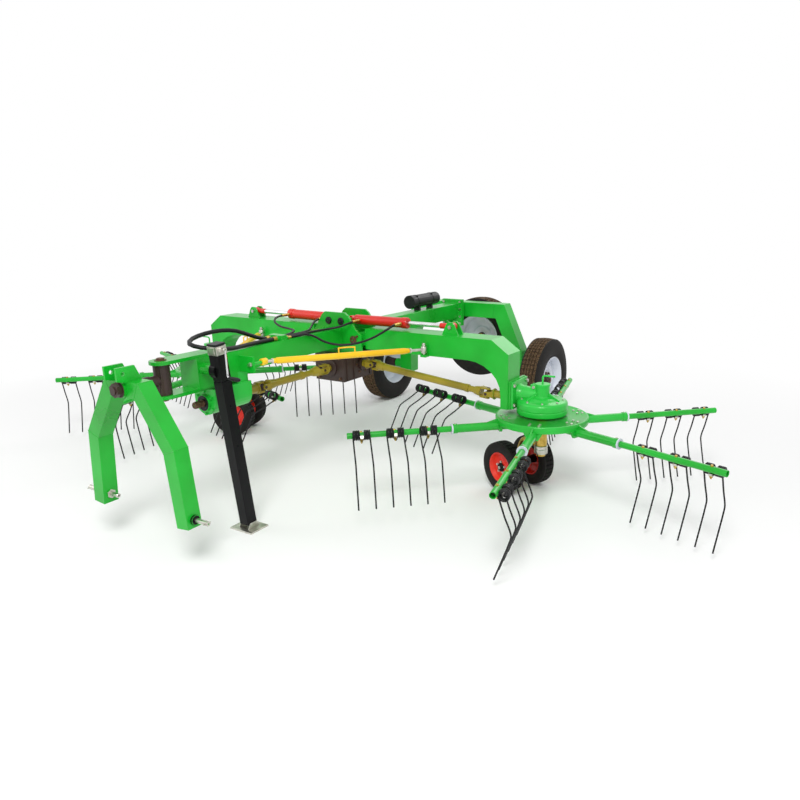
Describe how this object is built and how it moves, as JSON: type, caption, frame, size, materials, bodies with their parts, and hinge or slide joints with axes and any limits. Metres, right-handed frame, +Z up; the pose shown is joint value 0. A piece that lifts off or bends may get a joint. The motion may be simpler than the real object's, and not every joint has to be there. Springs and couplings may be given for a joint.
{
  "type": "twin rotor hay rake",
  "caption": "Towed twin rotor hay rake: a beam with a hitch frame, lifting arms with turning tine rotors on castors, a driveline, a jack and a wheeled portal.",
  "frame": {"origin": "middle of the machine's outline, on the floor", "axes": "+X to the machine's left, -Y towards the towing end, +Z up"},
  "size_m": [6.2874, 4.523, 1.3488],
  "materials": {
    "green_paint": "gloss",
    "tyre_rubber": "matt",
    "black_paint": "satin",
    "zinc_plate": "satin",
    "brown_casting": "satin",
    "olive_plastic": "satin",
    "yellow_paint": "gloss",
    "red_paint": "gloss",
    "hard_chrome": "polished",
    "black_plastic": "satin",
    "hose_rubber": "satin"
  },
  "bodies": {
    "frame": {"front_beam": "green_paint", "hinge_housing": "green_paint", "rear_beam": "green_paint", "portal_crossbeam": "green_paint", "portal_leg_left": "green_paint", "portal_leg_right": "green_paint", "spare_wheel": "tyre_rubber", "spare_carrier": "yellow_paint", "jack_tube": "black_paint", "jack_crank": "zinc_plate", "front_gearbox": "green_paint", "centre_gearbox": "brown_casting", "document_canister": "black_plastic", "supply_sleeve": "hose_rubber", "hose_left_base": "hose_rubber", "hose_left_rod": "hose_rubber", "hose_right_base": "hose_rubber", "hose_right_rod": "hose_rubber"},
    "yaw_block": {"yaw_block": "zinc_plate"},
    "headstock": {"headstock": "green_paint"},
    "jack_leg": {"jack_leg": "black_paint"},
    "front_shaft": {"front_shaft": "olive_plastic"},
    "rear_wheel_left": {"rear_wheel_left": "tyre_rubber"},
    "arm_left": {"lift_arm_left": "green_paint", "brace_left": "yellow_paint", "rotor_gearbox_left": "green_paint"},
    "barrel_left": {"cylinder_barrel_left": "red_paint"},
    "rod_left": {"cylinder_rod_left": "hard_chrome"},
    "side_shaft_outer_left": {"side_shaft_outer_tube_left": "olive_plastic"},
    "side_shaft_inner_left": {"side_shaft_inner_tube_left": "olive_plastic"},
    "rotor_left": {"rotor_disc_left": "green_paint", "tine_arm_left_1": "green_paint", "tine_arm_left_2": "green_paint", "tine_arm_left_3": "green_paint", "tine_arm_left_4": "green_paint", "tine_arm_left_5": "green_paint", "tine_arm_left_6": "green_paint"},
    "castor_left": {"castor_frame_left": "green_paint"},
    "castor_wheels_left": {"castor_axle_left": "zinc_plate", "castor_wheel_left_outer": "tyre_rubber", "castor_wheel_left_inner": "tyre_rubber"},
    "rear_wheel_right": {"rear_wheel_right": "tyre_rubber"},
    "arm_right": {"lift_arm_right": "green_paint", "brace_right": "yellow_paint", "rotor_gearbox_right": "green_paint"},
    "barrel_right": {"cylinder_barrel_right": "red_paint"},
    "rod_right": {"cylinder_rod_right": "hard_chrome"},
    "side_shaft_outer_right": {"side_shaft_outer_tube_right": "olive_plastic"},
    "side_shaft_inner_right": {"side_shaft_inner_tube_right": "olive_plastic"},
    "rotor_right": {"rotor_disc_right": "green_paint", "tine_arm_right_1": "green_paint", "tine_arm_right_2": "green_paint", "tine_arm_right_3": "green_paint", "tine_arm_right_4": "green_paint", "tine_arm_right_5": "green_paint", "tine_arm_right_6": "green_paint"},
    "castor_right": {"castor_frame_right": "green_paint"},
    "castor_wheels_right": {"castor_axle_right": "zinc_plate", "castor_wheel_right_outer": "tyre_rubber", "castor_wheel_right_inner": "tyre_rubber"}
  },
  "joints": [
    {"name": "headstock_yaw", "type": "hinge", "parent": "frame", "child": "yaw_block", "pos_m": [0, -1.9215, 1.095], "axis": [0, 0, 1], "range_deg": [-30, 30]},
    {"name": "headstock_roll", "type": "hinge", "parent": "yaw_block", "child": "headstock", "pos_m": [0, -2.1515, 1.095], "axis": [0, 1, 0], "range_deg": [-10, 10]},
    {"name": "jack_extend", "type": "slide", "parent": "frame", "child": "jack_leg", "axis": [0, 0.0976, -0.9952], "range_m": [0, 0.25]},
    {"name": "front_shaft_spin", "type": "hinge", "parent": "frame", "child": "front_shaft", "pos_m": [0, -0.1215, 0.875], "axis": [0, 1, 0], "continuous": true},
    {"name": "rear_wheel_left_spin", "type": "hinge", "parent": "frame", "child": "rear_wheel_left", "pos_m": [0.984, 1.8285, 0.433], "axis": [1, 0, 0], "continuous": true},
    {"name": "arm_lift_left", "type": "hinge", "parent": "frame", "child": "arm_left", "pos_m": [0.184, -0.1215, 1.105], "axis": [0, -1, 0], "range_deg": [-4, 75]},
    {"name": "cylinder_pivot_left", "type": "hinge", "parent": "frame", "child": "barrel_left", "pos_m": [0.064, -0.1215, 1.25], "axis": [0, -1, 0], "range_deg": [-4.47, 74.96]},
    {"name": "rod_slide_left", "type": "slide", "parent": "barrel_left", "child": "rod_left", "axis": [1, 0, 0.0061], "range_m": [-0.231, 0.0142]},
    {"name": "side_shaft_swing_left", "type": "hinge", "parent": "frame", "child": "side_shaft_outer_left", "pos_m": [0.27, -0.1215, 0.885], "axis": [0, -1, 0], "range_deg": [-4.39, 73.39]},
    {"name": "side_shaft_slide_left", "type": "slide", "parent": "side_shaft_outer_left", "child": "side_shaft_inner_left", "axis": [0.9943, 0, -0.1064], "range_m": [-0.0172, 0.2861]},
    {"name": "rotor_spin_left", "type": "hinge", "parent": "arm_left", "child": "rotor_left", "pos_m": [1.774, -0.0815, 0.649], "axis": [0, 0, 1], "continuous": true},
    {"name": "castor_swivel_left", "type": "hinge", "parent": "arm_left", "child": "castor_left", "pos_m": [1.774, -0.0815, 0.44], "axis": [0, 0, 1], "continuous": true},
    {"name": "castor_wheels_left_spin", "type": "hinge", "parent": "castor_left", "child": "castor_wheels_left", "pos_m": [1.54561, 0.02018, 0.2], "axis": [-0.4067, -0.9135, 0], "continuous": true},
    {"name": "rear_wheel_right_spin", "type": "hinge", "parent": "frame", "child": "rear_wheel_right", "pos_m": [-0.984, 1.8285, 0.433], "axis": [1, 0, 0], "continuous": true},
    {"name": "arm_lift_right", "type": "hinge", "parent": "frame", "child": "arm_right", "pos_m": [-0.184, -0.1215, 1.105], "axis": [0, 1, 0], "range_deg": [-4, 75]},
    {"name": "cylinder_pivot_right", "type": "hinge", "parent": "frame", "child": "barrel_right", "pos_m": [-0.064, -0.1215, 1.25], "axis": [0, 1, 0], "range_deg": [-4.47, 74.96]},
    {"name": "rod_slide_right", "type": "slide", "parent": "barrel_right", "child": "rod_right", "axis": [-1, 0, 0.0061], "range_m": [-0.231, 0.0142]},
    {"name": "side_shaft_swing_right", "type": "hinge", "parent": "frame", "child": "side_shaft_outer_right", "pos_m": [-0.27, -0.1215, 0.885], "axis": [0, 1, 0], "range_deg": [-4.39, 73.39]},
    {"name": "side_shaft_slide_right", "type": "slide", "parent": "side_shaft_outer_right", "child": "side_shaft_inner_right", "axis": [-0.9943, 0, -0.1064], "range_m": [-0.0172, 0.2861]},
    {"name": "rotor_spin_right", "type": "hinge", "parent": "arm_right", "child": "rotor_right", "pos_m": [-1.774, -0.0815, 0.649], "axis": [0, 0, 1], "continuous": true},
    {"name": "castor_swivel_right", "type": "hinge", "parent": "arm_right", "child": "castor_right", "pos_m": [-1.774, -0.0815, 0.44], "axis": [0, 0, 1], "continuous": true},
    {"name": "castor_wheels_right_spin", "type": "hinge", "parent": "castor_right", "child": "castor_wheels_right", "pos_m": [-1.54561, 0.02018, 0.2], "axis": [-0.4067, 0.9135, 0], "continuous": true}
  ],
  "couplings": [
    {"joint": "cylinder_pivot_left", "follows": "arm_lift_left", "ratio": 0.99281},
    {"joint": "rod_slide_left", "follows": "arm_lift_left", "m_per_rad": -0.17495},
    {"joint": "side_shaft_swing_left", "follows": "arm_lift_left", "ratio": 0.97193},
    {"joint": "side_shaft_slide_left", "follows": "arm_lift_left", "m_per_rad": 0.21704},
    {"joint": "cylinder_pivot_right", "follows": "arm_lift_right", "ratio": 0.99281},
    {"joint": "rod_slide_right", "follows": "arm_lift_right", "m_per_rad": -0.17495},
    {"joint": "side_shaft_swing_right", "follows": "arm_lift_right", "ratio": 0.97193},
    {"joint": "side_shaft_slide_right", "follows": "arm_lift_right", "m_per_rad": 0.21704}
  ]
}
